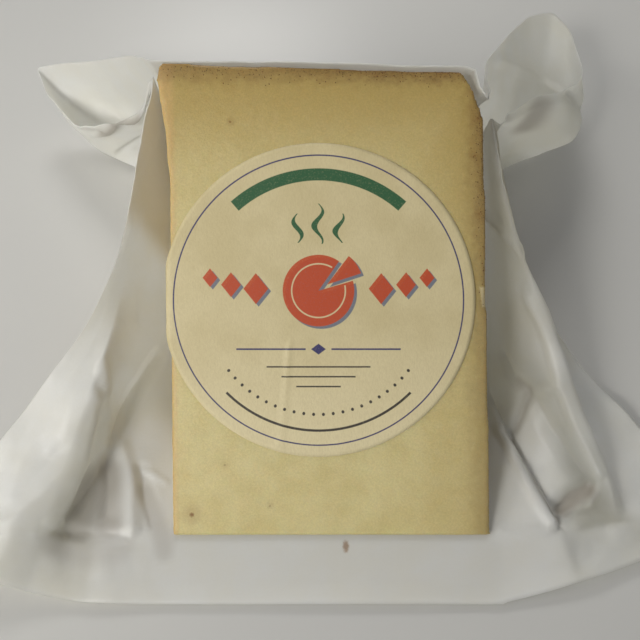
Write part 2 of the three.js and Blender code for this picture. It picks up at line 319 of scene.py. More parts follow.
def makeCheese():
    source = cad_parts["cheese"]
    mesh = source.data.copy()
    body = bmesh.new()
    body.from_mesh(mesh)
    bmesh.ops.remove_doubles(body, verts=body.verts, dist=1e-5)
    body.to_mesh(mesh)
    body.free()
    mesh.materials.clear()
    piece = bpy.data.objects.new("cheeseWedge", mesh)
    bpy.context.collection.objects.link(piece)
    remesh = piece.modifiers.new("even", "REMESH")
    remesh.mode = "VOXEL"
    remesh.voxel_size = cheeseLook["voxel"]
    relax = piece.modifiers.new("relax", "SMOOTH")
    relax.factor = 0.5
    relax.iterations = 2
    applyModifiers(piece)
    points = inMillimetres(pointsOf(piece.data))
    normals = normalsOf(piece.data)
    across, along, above = facePlace(points)
    radius = np.hypot(points[:, 1] - wedge["axisY"], points[:, 2] - wedge["bottom"])
    rim = step(radius, wedge["radius"] - 6, wedge["radius"] - 2)
    onTop = step(above, -1.0, -0.2)
    turn = np.degrees(np.arctan2(points[:, 2] - wedge["bottom"], points[:, 1] - wedge["axisY"]))
    height = cheeseLook["unevenness"] * softNoise(across / 11, along / 13, 3)
    height += cheeseLook["unevenness"] * 0.6 * softNoise(across / 5, along / 4 + above / 4, 8)
    height += cheeseLook["grain"] * 2 * softNoise(across / 1.3, along / 1.3 + above / 1.3, 5)
    rough = cheeseLook["rimUnevenness"]
    height += rim * rough * softNoise(across / 3.1, turn / 2.1, 12)
    height += rim * rough * softNoise(across / 7, turn / 4, 14)
    height -= cheeseLook["inset"]
    bottom = step(points[:, 2], wedge["bottom"] + 0.6, wedge["bottom"] + 0.1)
    height *= 1 - bottom
    height *= 1 - 0.35 * onTop
    setPoints(piece.data, inMetres(points + normals * height[:, None]))
    piece.data.shade_smooth()
    piece.data.materials.append(cheeseFinish())

    # how brown each place of the upper face is: the flecks lie there, but not under the label
    toRim = wedge["radius"] - wedge["rimTaper"] / 2 - radius
    toRight = wedge["rightFlat"] - points[:, 0] - radius * (wedge["rightLean"] / wedge["radius"])
    edgeShare = np.maximum(step(-toRim, -5.0, 0.0), step(-toRight, -4.0, 0.0) * step(radius, 30, 92))
    bare = np.hypot(across - labelLook["across"], along - labelLook["along"]) > labelLook["radius"] + 0.6
    edgeShare = edgeShare ** 2 * (0.3 + 0.7 * step(across, -15, 25)) * step(above, -1.6, -0.6)
    setAttribute(piece.data, "browned", edgeShare * bare)
    return piece


def cheeseFinish():
    f = Finish("smokedCheese")
    place = f.objectPlace()
    x = f.split(place)[0]
    fromAxis = f.vector("SUBTRACT", {0: place, 1: (0.0, wedge["axisY"], wedge["bottom"])})
    overX = f.vector("MULTIPLY", {0: fromAxis, 1: (0.0, 1.0, 1.0)})
    radius = f.vector("LENGTH", {0: overX}, out=1)
    toRight = wedge["rightFlat"] - x - radius * (wedge["rightLean"] / wedge["radius"])
    toLeft = x - wedge["leftFlat"]
    toRim = wedge["radius"] - wedge["rimTaper"] / 2 - radius
    patch = f.noise(place, 0.16, 4.0, 0.6)
    blotch = f.noise(place, 0.7, 4.0, 0.65)
    speckle = f.noise(place, 2.6, 3.0, 0.6)
    fine = f.noise(place, 6.0, 2.0, 0.5)

    # the smoke's brown goes in from the outside, unevenly, and is deepest at the far right
    ragged = (blotch - 0.5) * 3.2 + (patch - 0.5) * 2.4
    outward = f.fade(radius, 8, 88, 0.62, 1.0)
    right = f.fade(toRight + ragged * 1.3, 0.4, 6.0, 1.0, 0.0) * outward
    rim = f.fade(toRim + ragged * 1.3, 0.0, 4.6, 1.0, 0.0) * f.fade(x, -26, 22, 0.62, 1.0)
    left = f.fade(toLeft + ragged * 0.3, 0.2, 2.0, 1.0, 0.0)
    haze = f.larger(f.fade(toRim + ragged * 2, 2, 24, 0.55, 0.0),
                    f.fade(toRight + ragged * 2, 1, 20, 0.6, 0.0) * outward)
    haze = f.smaller(haze + f.fade(radius + ragged, 40, 100, 0.0, 0.38), cheeseLook["hazeMost"])
    base = f.blend(f.fade(patch + (fine - 0.5) * 0.25, 0.3, 0.75), cheeseLook["paste"],
                   cheeseLook["pasteDeep"])
    base = f.blend(haze, base, cheeseLook["smoked"])
    below = f.vector("DOT_PRODUCT", {0: fromAxis, 1: tuple(-faceUp)}, out=1)
    leftColour = f.blend(f.fade(below, 1.0, 4.0), cheeseLook["leftRind"], cheeseLook["leftSide"])
    base = f.blend(left * cheeseLook["leftShare"], base, leftColour)
    brown = f.blend(f.fade(speckle, 0.42, 0.66), cheeseLook["rind"], cheeseLook["rindDark"])
    base = f.blend(right * cheeseLook["rightShare"], base, brown)
    base = f.blend(rim * cheeseLook["rimShare"], base, brown)
    grain = f.fade(speckle, 0.3, 0.75, 0.93, 1.05)
    base = f.blend(1.0, base, f.node("ShaderNodeCombineColor", {}, {0: grain, 1: grain, 2: grain}),
                   "MULTIPLY")

    # single brown marks and one pale chip on the upper face
    along = f.vector("DOT_PRODUCT", {0: fromAxis, 1: tuple(faceAlong)}, out=1)
    for markX, markAlong, size, share in cheeseLook["marks"]:
        away = f.maths("SQRT", (x - markX) * (x - markX) + (along - markAlong) * (along - markAlong))
        mark = f.fade(away + (speckle - 0.5) * 0.5, size * 0.2, size * 1.1, share, 0.0)
        mark = f.larger(mark, f.fade(away + (blotch - 0.5) * 1.5, size, size * 4, share * 0.25, 0.0))
        base = f.blend(mark, base, cheeseLook["mark"])
    chip = f.larger(abs(x - 30.6 + (along - 50) * 0.15) - 0.5, abs(along - 49.8) - 2.0)
    base = f.blend(f.fade(chip + (speckle - 0.5) * 0.6, -0.25, 0.25, 0.8, 0.0), base, cheeseLook["chip"])
    normal = f.bump(speckle * 0.6 + fine * 0.4 + blotch, cheeseLook["bumpDepth"],
                    cheeseLook["bumpStrength"])
    return f.close({
        "Base Color": base,
        "Roughness": f.fade(blotch, 0.3, 0.7, 0.36, 0.5),
        "Normal": normal,
        "Subsurface Weight": cheeseLook["subsurface"],
        "Subsurface Radius": (1.0, 0.6, 0.3),
        "Subsurface Scale": cheeseLook["subsurfaceScale"],
        "Specular IOR Level": 0.4,
    })


# Flecks of smoke on the browned edges, spread over the wedge by Geometry Nodes
fleckLook = {
    "density": 5.5e6,
    "size": 0.00012,
    "flatness": 0.4,
    "seed": 11,
    "brown": colour(132, 98, 56),
    "dark": colour(96, 68, 40),
}


def fleckTree():
    tree = bpy.data.node_groups.new("spreadFlecks", "GeometryNodeTree")
    for name, kind in (("Geometry", "Geometry"), ("Density", "Float"), ("Size", "Float"),
                       ("Flatness", "Float"), ("Seed", "Int"), ("Material", "Material")):
        tree.interface.new_socket(name=name, in_out="INPUT", socket_type="NodeSocket" + kind)
    tree.interface.new_socket(name="Geometry", in_out="OUTPUT", socket_type="NodeSocketGeometry")

    def add(kind, inputs=None, settings=None):
        return addNode(tree, kind, settings, inputs).outputs

    start = add("NodeGroupInput")
    browned = add("GeometryNodeInputNamedAttribute", {"Name": "browned"}, {"data_type": "FLOAT"})
    density = add("ShaderNodeMath", {0: start["Density"], 1: browned[0]}, {"operation": "MULTIPLY"})
    spread = add("GeometryNodeDistributePointsOnFaces", {
        "Mesh": start["Geometry"], "Density": density[0], "Seed": start["Seed"]})

    # one uneven grain, turned and scaled at random
    grain = add("GeometryNodeMeshIcoSphere", {"Radius": start["Size"], "Subdivisions": 2})
    uneven = add("ShaderNodeTexNoise", {"Scale": 5000.0, "Detail": 1.0})
    centred = add("ShaderNodeVectorMath", {0: uneven["Color"], 1: (0.5, 0.5, 0.5)},
                  {"operation": "SUBTRACT"})
    push = add("ShaderNodeVectorMath", {0: centred[0], "Scale": start["Size"]}, {"operation": "SCALE"})
    shaped = add("GeometryNodeSetPosition", {"Geometry": grain["Mesh"], "Offset": push[0]})
    size = add("FunctionNodeRandomValue", {2: 0.35, 3: 1.3, 8: start["Seed"]}, {"data_type": "FLOAT"})
    form = add("ShaderNodeCombineXYZ", {0: 1.0, 1: 0.7, 2: start["Flatness"]})
    scale = add("ShaderNodeVectorMath", {0: form[0], "Scale": size[1]}, {"operation": "SCALE"})
    placed = add("GeometryNodeInstanceOnPoints", {
        "Points": spread["Points"], "Instance": shaped["Geometry"], "Rotation": spread["Rotation"],
        "Scale": scale[0]})
    turn = add("FunctionNodeRandomValue", {2: 0.0, 3: 2 * math.pi, 8: start["Seed"]},
               {"data_type": "FLOAT"})
    turnBy = add("ShaderNodeCombineXYZ", {2: turn[1]})
    turned = add("GeometryNodeRotateInstances", {"Instances": placed[0], "Rotation": turnBy[0]})
    whole = add("GeometryNodeRealizeInstances", {"Geometry": turned[0]})
    finished = add("GeometryNodeSetMaterial", {"Geometry": whole[0], "Material": start["Material"]})
    add("NodeGroupOutput", {"Geometry": finished[0]})
    return tree


def makeFlecks(cheese):
    look = fleckLook
    piece = bpy.data.objects.new("smokeFlecks", cheese.data.copy())
    bpy.context.collection.objects.link(piece)
    tree = fleckTree()
    modifier = piece.modifiers.new("flecks", "NODES")
    modifier.node_group = tree
    values = {"Density": look["density"], "Size": look["size"], "Flatness": look["flatness"],
              "Seed": look["seed"], "Material": fleckFinish()}
    for socket in tree.interface.items_tree:
        if socket.in_out == "INPUT" and socket.name in values:
            modifier[socket.identifier] = values[socket.name]
    applyModifiers(piece)
    piece.data.shade_smooth()
    return piece


def fleckFinish():
    f = Finish("smokeFleck")
    mottle = f.noise(f.objectPlace(), 0.9, 3.0, 0.6)
    return f.close({
        "Base Color": f.blend(f.fade(mottle, 0.35, 0.65), fleckLook["brown"], fleckLook["dark"]),
        "Roughness": f.fade(mottle, 0.3, 0.7, 0.5, 0.7),
        "Specular IOR Level": 0.35,
    })


# Label
labelLook = {
    "radius": 31.6,
    "across": -2.6,
    "along": 48.9,
    "above": 0.13,
    "bend": 0.6,
    "thickness": 0.08,
    "unevenness": 0.05,
    "crease": (-5.2, 0.08, 0.16, 0.5, -8),  # across, lean, height, width, and where it ends
    "ripples": [(-8.3, 0.1, 0.7, 24), (4.2, 0.1, 0.8, 25)],  # across, height, width, where it starts
    "rippleFull": 30,
    "edgeGap": 0.25,
    "rings": 44,
    "sectors": 220,
    "stock": colour(232, 217, 171),
    "stockDeep": colour(222, 206, 158),
    "stockPaintedLight": colour(246, 232, 188),
    # painted light: the paler stock towards the bottom of the label stands in for its sheen
    "fibre": colour(194, 175, 128),
    "orange": colour(206, 84, 44),
    "shadow": colour(122, 128, 142),
    "green": colour(38, 98, 62),
    "navy": colour(52, 52, 110),
    "black": colour(56, 52, 50),
    "bumpDepth": 0.00009,
    "bumpStrength": 0.45,
}


def makeLabel():
    look = labelLook
    edge = wedge["leftFlat"] - look["edgeGap"]
    points = []
    uvs = []
    for r in range(look["rings"] + 1):
        radius = look["radius"] * r / look["rings"]
        for s in range(look["sectors"] if r else 1):
            angle = 2 * math.pi * s / look["sectors"]
            a = radius * math.cos(angle)
            b = radius * math.sin(angle)
            across = look["across"] + a
            along = look["along"] + b
            middle, lean, height, width, end = look["crease"]
            above = look["above"] + height * math.exp(-((a - middle - lean * b) / width) ** 2) * (b < end)
            for middle, height, width, start in look["ripples"]:
                ripple = height * math.exp(-((a - middle) / width) ** 2)
                above += ripple * step(-b, start, look["rippleFull"])
            above += look["unevenness"] * softNoise(a / 7, b / 7, 21)
            past = edge - across
            if past <= 0:
                place = (across, along, above)
            else:
                turn = min(past / look["bend"], math.pi / 2)
                rest = max(0.0, past - look["bend"] * math.pi / 2)
                place = (edge - look["bend"] * math.sin(turn), along,
                         above - look["bend"] * (1 - math.cos(turn)) - rest)
            points.append(faceFoot + np.array([place[0], 0, 0]) + faceAlong * place[1]
                          + faceUp * place[2])
            uvs.append((a, b))
    faces = []
    ring = look["sectors"]
    for s in range(ring):
        faces.append((0, 1 + s, 1 + (s + 1) % ring))
    for r in range(1, look["rings"]):
        inner = 1 + (r - 1) * ring
        outer = inner + ring
        for s in range(ring):
            n = (s + 1) % ring
            faces.append((inner + s, outer + s, outer + n, inner + n))
    piece = meshObject("roundLabel", inMetres(points), faces, uvs)
    wall = piece.modifiers.new("stock", "SOLIDIFY")
    wall.thickness = look["thickness"] * 0.001
    wall.offset = -1.0
    applyModifiers(piece)
    piece.data.materials.append(labelFinish())
    return piece


class Print:
    # flat shapes of ink on the label, in millimetres from its middle
    def __init__(self, finish, a, b):
        self.f = finish
        self.a = a
        self.b = b

    def ink(self, distance):
        return self.f.fade(distance, -0.07, 0.07, 1.0, 0.0)

    def disc(self, x, y, radius):
        f = self.f
        across = self.a - x
        up = self.b - y
        return f.maths("SQRT", across * across + up * up) - radius

    def ring(self, x, y, radius, width):
        return abs(self.disc(x, y, radius)) - width / 2

    def lozenge(self, x, y, wide, tall):
        size = wide * tall / math.hypot(wide, tall)
        return (abs(self.a - x) * (1 / wide) + abs(self.b - y) * (1 / tall) - 1) * size

    def bar(self, x, y, wide, tall):
        return self.f.larger(abs(self.a - x) - wide / 2, abs(self.b - y) - tall / 2)

    def join(self, parts):
        whole = parts[0]
        for part in parts[1:]:
            whole = self.f.smaller(whole, part)
        return whole


def labelFinish():
    f = Finish("printedLabel")
    a, b = f.split(f.node("ShaderNodeTexCoord", {}, {}, out=2))[:2]
    place = f.objectPlace()
    p = Print(f, a, b)
    angle = f.maths("ARCTAN2", a, b)  # from straight up, clockwise
    radius = p.disc(0, 0, 0)

    # a wheel with one wedge drawn out of it, and lozenges on both sides, each with a shadow
    wheelY = 2.2
    wheelSize = 7.2
    wedgeTurn = 0.95

    def sector(q, half, out):
        s = Print(f, q.a - out * math.sin(wedgeTurn), q.b - out * math.cos(wedgeTurn) - wheelY)
        one = s.a * math.cos(wedgeTurn + half) - s.b * math.sin(wedgeTurn + half)
        other = s.b * math.sin(wedgeTurn - half) - s.a * math.cos(wedgeTurn - half)
        return f.larger(s.disc(0, 0, wheelSize), f.larger(one, other))

    def wheelShape(dx, dy):
        q = Print(f, a - dx, b - dy)
        wheel = f.larger(q.disc(0, wheelY, wheelSize), sector(q, 0.34, 0) * -1.0)
        parts = [wheel, sector(q, 0.3, 2.1)]
        lozenges = ((12.6, 0.4, 2.5), (17.6, 1.2, 2.0), (21.8, 2.6, 1.5))
        parts += [q.lozenge(sign * x, wheelY + y, w, w * 1.25) for sign in (-1, 1) for x, y, w in lozenges]
        return q.join(parts)

    shape = wheelShape(0, 0)
    shade = wheelShape(0.55, -0.5)
    groove = f.larger(p.ring(0, wheelY, 5.4, 0.3), sector(p, 0.42, 0) * -1.0)

    topArc = f.larger(p.ring(0, 0, 25.4, 2.4), (abs(angle) - 0.72) * 25.4)
    lowArc = f.larger(p.ring(0, 0, 26.2, 0.5), (abs(angle) - 2.35) * -26.2)
    rim = p.ring(0, 0, 29.2, 0.28)
    curls = []
    for x, phase, low, high in ((-4.2, 0.3, 11.8, 17.6), (0.0, 1.4, 11.6, 19.6), (4.2, 2.6, 11.8, 17.6)):
        middle = (low + high) / 2
        wave = f.maths("SINE", b * 1.05 + phase) * 0.85
        taper = f.fade(b, low, middle, 0.15, 0.62) * f.fade(b, middle, high, 1.0, 0.2)
        line = abs(a - x - wave) - taper
        curls.append(f.larger(line, abs(b - middle) - (high - low) / 2))
    rule = p.join([p.bar(-9.6, -9.6, 14.0, 0.34), p.bar(9.6, -9.6, 14.0, 0.34),
                   p.lozenge(0, -9.6, 1.5, 1.1)])
    small = p.join([p.bar(0, y, long, 0.3) for y, long in ((-13.2, 21.0), (-15.2, 15.0), (-17.2, 9.0))])
    beadRing = 22.9
    beadTurn = f.maths("FRACT", angle * (36 / math.pi)) - 0.5
    beadAcross = beadTurn * (26.2 * math.pi / 36)
    beadOut = radius - beadRing
    bead = f.maths("SQRT", beadAcross * beadAcross + beadOut * beadOut) - 0.34
    beads = f.larger(bead, (abs(angle) - 2.2) * -beadRing)

    wear = f.noise(place, 3.0, 3.0, 0.6)
    fibre = f.noise(f.vector("MULTIPLY", {0: place, 1: (1.0, 0.35, 0.35)}), 3.5, 4.0, 0.7)
    cloud = f.noise(place, 0.12, 3.0, 0.5)
    base = f.blend(f.fade(cloud, 0.3, 0.7), labelLook["stock"], labelLook["stockDeep"])
    # painted light: the stock is painted paler towards the bottom of the label, a painted sheen
    base = f.blend(f.fade(b * -1.0, 2, 28, 0.0, 0.8), base, labelLook["stockPaintedLight"])
    base = f.blend(f.fade(fibre, 0.35, 0.7, 0.0, 0.22), base, labelLook["fibre"])
    thin = f.fade(wear, 0.25, 0.5, 0.82, 0.97)
    base = f.blend(p.ink(shade) * thin, base, labelLook["shadow"])
    base = f.blend(p.ink(shape) * thin, base, labelLook["orange"])
    base = f.blend(p.ink(groove) * 0.9, base, labelLook["stock"])
    base = f.blend(p.ink(p.join([topArc] + curls)) * thin, base, labelLook["green"])
    base = f.blend(p.ink(p.join([rule, rim])) * thin, base, labelLook["navy"])
    base = f.blend(p.ink(p.join([small, beads, lowArc])) * thin, base, labelLook["black"])
    weave = f.noise(f.vector("MULTIPLY", {0: place, 1: (1.0, 1.0, 0.3)}), 2.2, 4.0, 0.65)
    normal = f.bump(weave + fibre * 0.5, labelLook["bumpDepth"], labelLook["bumpStrength"])
    return f.close({
        "Base Color": base,
        "Roughness": f.fade(fibre, 0.3, 0.7, 0.42, 0.55),
        "Normal": normal,
        "Specular IOR Level": 0.4,
    })


# Paper: fold lines from the near edge to the far corners, each a list of
# (y, distance from the middle, height); the first is the wall's foot
paperLook = {
    "nearEdge": -13.8,
    "rindGap": 1.0,
    "cornerIn": 2.5,
    "nearRows": 16,
    "midRows": 66,
    "farRows": 52,
    "midEnd": 40.0,
    "columns": 7,
    "baseColumns": 30,
    "earRows": 7,
    "thickness": 0.22,
    "lift": 0.14,
    "crumple": 0.55,
    "crumples": [(17, 15, 41, 1.1), (7, 8, 43, 0.5), (3.1, 3.3, 47, 0.16)],  # lengths, seed, height
    "creaseScale": 1.5,
    "creasePower": 1.15,
    "white": colour(253, 253, 250),
    "dull": colour(251, 250, 244),
    "fibre": colour(246, 244, 236),
    # painted shade: the grey painted into the hollows of the folds
    "paintedShadeGrey": colour(204, 198, 187),
    "smear": colour(178, 136, 88),
    "smearAt": (3.0, -2.3, 0.5),
    "bumpDepth": 0.00006,
    "bumpStrength": 0.5,
    "coat": 0.5,
    "coatRoughness": 0.38,
    "flapPasses": 30,
    "earPasses": 3,
    "nearCrumple": 0.35,
    "farCrumple": 0.5,
    "clearance": 0.02,
    "stopped": 0.5,
    "through": 0.86,
}
farFold = wedge["axisY"] + wedge["radius"] + paperLook["rindGap"]
leftFolds = [
    (1, [(-13.8, 33.5, 0), (72, 33.5, 0), (86, 36, 0), (96.1, 36, 0)]),
    (3, [(-13.8, 42, 0.2), (1, 43, 0.3), (12, 44.6, 0.6), (25, 45, 3.5), (38, 39.5, 9), (62, 36.6, 17),
         (96.1, 36.4, 18)]),
    (2, [(-13.8, 50, 0.3), (1, 55.2, 0.6), (12, 50.6, 1.6), (25, 47, 7), (38, 42.3, 14),
         (62, 38.2, 25), (96.1, 36.8, 28)]),
    (1, [(-13.8, 56, 0.8), (-4, 56.6, 2.4), (1, 56.8, 5.2), (12, 53.3, 8.6), (25, 49, 16),
         (38, 45.6, 21), (62, 40, 31), (96.1, 37.2, 38)]),
    (2, [(-13.8, 63.5, 3.6), (1, 64.5, 6.2), (12, 63, 8.8), (25, 55, 15.4), (38, 48, 22),
         (62, 41, 34), (96.1, 37.4, 44)]),
    (3, [(-13.8, 81, 1), (1, 79, 3), (12, 71.5, 7.5), (25, 61, 14), (38, 50.5, 22.6), (50, 44.5, 29.5),
         (62, 42, 36.4), (96.1, 37.6, 50.5)]),
]
rightFolds = [
    (1, [(-13.8, 33.5, 0), (96.1, 33.5, 0)]),
    (2, [(-13.8, 49, 0.2), (1, 46.2, 1.6), (12, 42.4, 2.2), (25, 37.4, 1.8), (38, 34.4, 1.5),
         (96.1, 33.8, 3)]),
    (1, [(-13.8, 50, 0.1), (1, 47, 0.3), (12, 43.4, 0.4), (25, 38.6, 0.9), (38, 35.6, 3),
         (62, 34.5, 8), (96.1, 34, 8)]),
    (3, [(-13.8, 55, 0.2), (1, 56.5, 1.2), (9, 55.6, 4.8), (25, 45.4, 8.8), (38, 41, 14),
         (62, 35.8, 24), (96.1, 34.2, 26)]),
    (2, [(-13.8, 60, 0.4), (1, 59, 1.6), (9, 57.4, 5), (25, 51.4, 12), (38, 46.8, 20), (50, 39.3, 31.5),
         (62, 36.3, 37.5), (96.1, 33.4, 46)]),
    (1, [(-13.8, 66, 0.5), (1, 62, 0.6), (12, 60, 0.9), (25, 55.5, 2.5), (38, 51, 9), (50, 42.5, 24),
         (62, 38.6, 32), (96.1, 34.4, 43)]),
    (2, [(-13.8, 82, 1.2), (1, 80, 1), (12, 76.5, 1), (25, 67.2, 1.2), (38, 57.6, 2), (50, 47, 12),
         (62, 41, 26), (96.1, 35.6, 39.5)]),
]
sides = [
    {
        "sign": -1, "folds": leftFolds, "lean": 0.31, "farRise": math.radians(35.4),
        "bendFrom": 45, "bendSize": 0.034, "bendPower": 1.5,
        "ear": [
            [(49.5, 104, 7), (47.5, 98, 18), (44.4, 88, 34)],
            [(57, 104, 4.5), (56.7, 103, 12), (53.6, 97, 24)],
            [(63, 106, 3.5), (65.7, 106, 8), (65.2, 102, 16)],
            [(66, 110, 4), (72.9, 114, 9), (77.6, 117, 14)],
            [(65, 116, 4.5), (75, 122, 10), (81.5, 126, 17)],
            [(60, 119, 7), (66, 122, 14), (71.6, 124, 20)],
            [(54, 116, 10), (58, 118, 18), (61.5, 120, 24)],
            [(46, 107, 18), (46.4, 104, 31), (48, 104, 38)],
        ],
    },
    {
        "sign": 1, "folds": rightFolds, "lean": 0.5, "farRise": math.radians(36.8),
        "bendFrom": 31, "bendSize": 0.0793, "bendPower": 1.35,
        "ear": [
            [(47.4, 101, 8), (45, 95, 20), (42.1, 87, 34)],
            [(50, 101, 7), (52.4, 99, 16), (51, 96.5, 31)],
            [(54, 101.6, 6), (59.5, 100.5, 12), (61, 104.7, 26)],
            [(59.4, 104, 6), (66.6, 103, 13), (69, 119, 21)],
            [(59, 110, 5), (67, 122, 13), (69, 137, 20)],
            [(55, 116, 6), (62, 132, 13), (64.5, 145, 21)],
            [(49, 114, 8), (53, 128, 16), (55.8, 141, 22)],
            [(43, 108, 13), (45.5, 116, 21), (47.5, 128, 25)],
            [(38, 102, 20), (38, 101, 32), (36.2, 101, 38)],
        ],
    },
]

# single folds on the flat sheet: places from the middle and from the tip edge, height, half width
creases = [
    ([(-57.6, 24), (-56, 19), (-55.2, 13.4), (-56.6, 8.5), (-58.2, 0.6)], 1.0, 2.2),
    ([(-53.4, 14), (-54.9, 8), (-56.8, 3)], -0.5, 1.3),
    ([(-50, 15), (-52.3, 9), (-54, 4), (-56, 0.4)], 0.6, 1.6),
    ([(-57, 29), (-54.5, 25), (-52.3, 22.3), (-49.7, 18)], 1.0, 2.8),
    ([(-43, 38), (-44.5, 31.6), (-46.4, 26.2), (-48.7, 18)], -1.0, 2.6),
    ([(-48.6, 15), (-47.6, 10), (-47.2, 4)], -0.8, 3.4),
    ([(-45.4, 18.5), (-43, 13), (-42, 8), (-41, 0.5)], 0.5, 2.2),
    ([(-41, 14), (-38.8, 8.5), (-36.4, 3.4), (-34, -0.4)], -0.7, 2.2),
    ([(-40.6, 14), (-37.8, 13), (-35.1, 11.3)], 0.35, 1.0),
    ([(-57, -0.2), (-46, -0.4), (-34, -1)], -0.7, 2.0),
    ([(-60.5, -1.4), (-57.9, 0.3)], 0.5, 1.2),
    ([(-67, -0.2), (-63, 5.3), (-56, 14)], 0.7, 4.0),
    ([(-64.3, -3.5), (-66, -12)], 0.9, 6.0),
    ([(-52.8, -4), (-51, -12)], -0.4, 6.0),
    ([(37.8, 23), (39.6, 18.7), (41.9, 10.7), (45.7, 0.6)], 0.8, 1.7),
    ([(39.6, 22.4), (41.3, 18), (43.5, 10.5), (47.3, 0.8)], -0.8, 1.5),
    ([(44.3, 38), (45.4, 31.7), (47.6, 28.9), (43.9, 25.2), (40.5, 22)], -0.6, 1.8),
    ([(48.7, 28), (54, 27.8)], 0.5, 1.6),
    ([(48.5, 27), (50.1, 21.4), (52.8, 15.1), (56.2, 9.6)], -0.9, 2.8),
    ([(58.6, 44), (56, 36), (54.8, 28), (56, 19.4), (57.9, 11.6)], 0.9, 1.9),
    ([(57.9, 11), (57.2, 8.4), (55.1, 5)], 0.6, 1.2),
    ([(48.6, 5.4), (51.9, 7.4), (55, 8.3)], -1.1, 2.6),
    ([(46, 1.5), (50.7, 3.4), (54.7, 4.5)], 0.4, 1.5),
    ([(34.2, 0.4), (39.1, -0.3), (44, -0.6)], 0.4, 1.6),
    ([(61, 69), (63.7, 58.8), (65.6, 51)], 0.8, 2.2),
    ([(79, 103), (75, 109.5), (73.2, 119)], 0.8, 2.6),
    ([(43.4, 131), (56, 133), (73.2, 119)], 0.6, 2.6),
    ([(-69.6, 110.3), (-78.5, 110.6), (-82, 98)], -0.9, 2.6),
    ([(-58.7, 104.4), (-59.3, 102.4), (-64, 101)], 0.6, 1.8),
    ([(-75, 117), (-72.5, 116), (-69.8, 110.8)], 0.7, 2.0),
]

# hollows of the folds with painted shade, where the paper is painted grey and lets less light through:
# places, share, half width
paintedShadeHollows = [
    ([(-47.6, 13), (-47, 9), (-46, 2)], 0.7, 4.5),
    ([(-50.5, 10), (-51.6, 6), (-52, 1)], 0.45, 5.5),
    ([(-56, -3), (-50, -4), (-44, -3)], 0.25, 5.0),
    ([(-39.5, 9), (-37.4, 5), (-35, 0), (-34, -3.5)], 0.35, 3.0),
    ([(49, 4), (52, 6.4), (55, 7.6)], 1.0, 2.6),
    ([(40.5, 20.5), (42.5, 14.5), (44.4, 8), (46.6, 1.5)], 0.7, 1.0),
    ([(46, 31), (47.4, 28.8), (45, 26), (42, 23)], 0.35, 1.8),
    ([(-69.6, 110.3), (-78.5, 110.6), (-81, 104.5)], 0.8, 2.6),
    ([(67, 105), (72, 109)], 0.45, 4.5),
]


def nearness(points, width, u, v):
    # 1 on the line through the points, falling to 0 at the width
    nearest = np.full(len(u), 1e6)
    for a, b in zip(points, points[1:]):
        runU = b[0] - a[0]
        runV = b[1] - a[1]
        along = ((u - a[0]) * runU + (v - a[1]) * runV) / (runU ** 2 + runV ** 2)
        along = np.clip(along, 0, 1)
        nearest = np.minimum(nearest, np.hypot(u - a[0] - along * runU, v - a[1] - along * runV))
    return np.clip(1 - nearest / width, 0, 1)


def creaseHeights(u, v):
    power = paperLook["creasePower"]
    total = sum(height * nearness(points, width, u, v) ** power for points, height, width in creases)
    return paperLook["creaseScale"] * total


# painted shade: how much grey is painted into each hollow of the folds
def paintedShadeShare(u, v):
    total = np.zeros(len(u))
    for points, share, width in paintedShadeHollows:
        total = np.maximum(total, share * step(nearness(points, width, u, v), 0.0, 0.8))
    return total


def doubleShare(u, v):
    # less light passes where the ears and the far half of the left wall lie double, where the
    # wings, the front and the walls' feet rest on the table, and through the far wall
    leftWall = step(v, 54, 62) * step(-u, 36, 40)
    wings = step(np.abs(u) + 0.25 * v, 57, 67) * step(-v, -50, -30)
    feet = step(-np.abs(u), -54, -46) * step(-v, -32, -20)
    front = 0.6 * step(-v, 0.5, 3)
    beyond = step(-u, 34, 39) + 0.25 * step(u, 34, 39) + 0.6 * step(-np.abs(u), -39, -34)
    beyond *= step(v, farFold, farFold + 3)
    return np.maximum.reduce([leftWall, wings, feet, front, beyond])


def foldAt(points, y):
    k = 0
    while k < len(points) - 2 and y > points[k + 1][0]:
        k += 1
    before = points[max(k - 1, 0)]
    a = points[k]
    b = points[k + 1]
    after = points[min(k + 2, len(points) - 1)]
    span = b[0] - a[0]
    t = min(max((y - a[0]) / span, 0), 1)
    h = t * t * (3 - 2 * t)
    value = []
    for n in (1, 2):
        slopeA = (b[n] - before[n]) / (b[0] - before[0])
        slopeB = (after[n] - a[n]) / (after[0] - a[0])
        value.append(a[n] * (1 - h) + b[n] * h
                     + span * (slopeA * t * (1 - t) ** 2 - slopeB * t * t * (1 - t)))
    return value


def waves(x, y, z):
    return (math.sin(0.31 * x + 0.17 * y + 1.3) + math.sin(0.23 * y - 0.29 * z + 0.4)
            + math.sin(0.47 * (x - y) + 0.21 * z + 2.1)) / 3


def curl(y):
    return 0.7 * float(step(-y, 8.8, 13.8))


def sideRow(side, y):
    lines = [foldAt(points, y) for steps, points in side["folds"]]
    row = [tuple(lines[0])]
    for k in range(1, len(lines)):
        count = side["folds"][k][0] * paperLook["columns"]
        for s in range(1, count + 1):
            t = s / count
            row.append((lines[k - 1][0] * (1 - t) + lines[k][0] * t,
                        lines[k - 1][1] * (1 - t) + lines[k][1] * t))
    near = float(step(-y, -12, 13.8))
    far = float(step(y, 50, farFold))
    made = []
    for x, z in row:
        out = max(0.0, x - side["bendFrom"])
        free = float(step(x - lines[0][0], 0, 12))
        rise = z + free * paperLook["crumple"] * (1 + waves(side["sign"] * x, y, z))
        made.append((side["sign"] * x, y + near * side["bendSize"] * out ** side["bendPower"]
                     - far * side["lean"] * z, rise + curl(y)))
    return np.array(made)


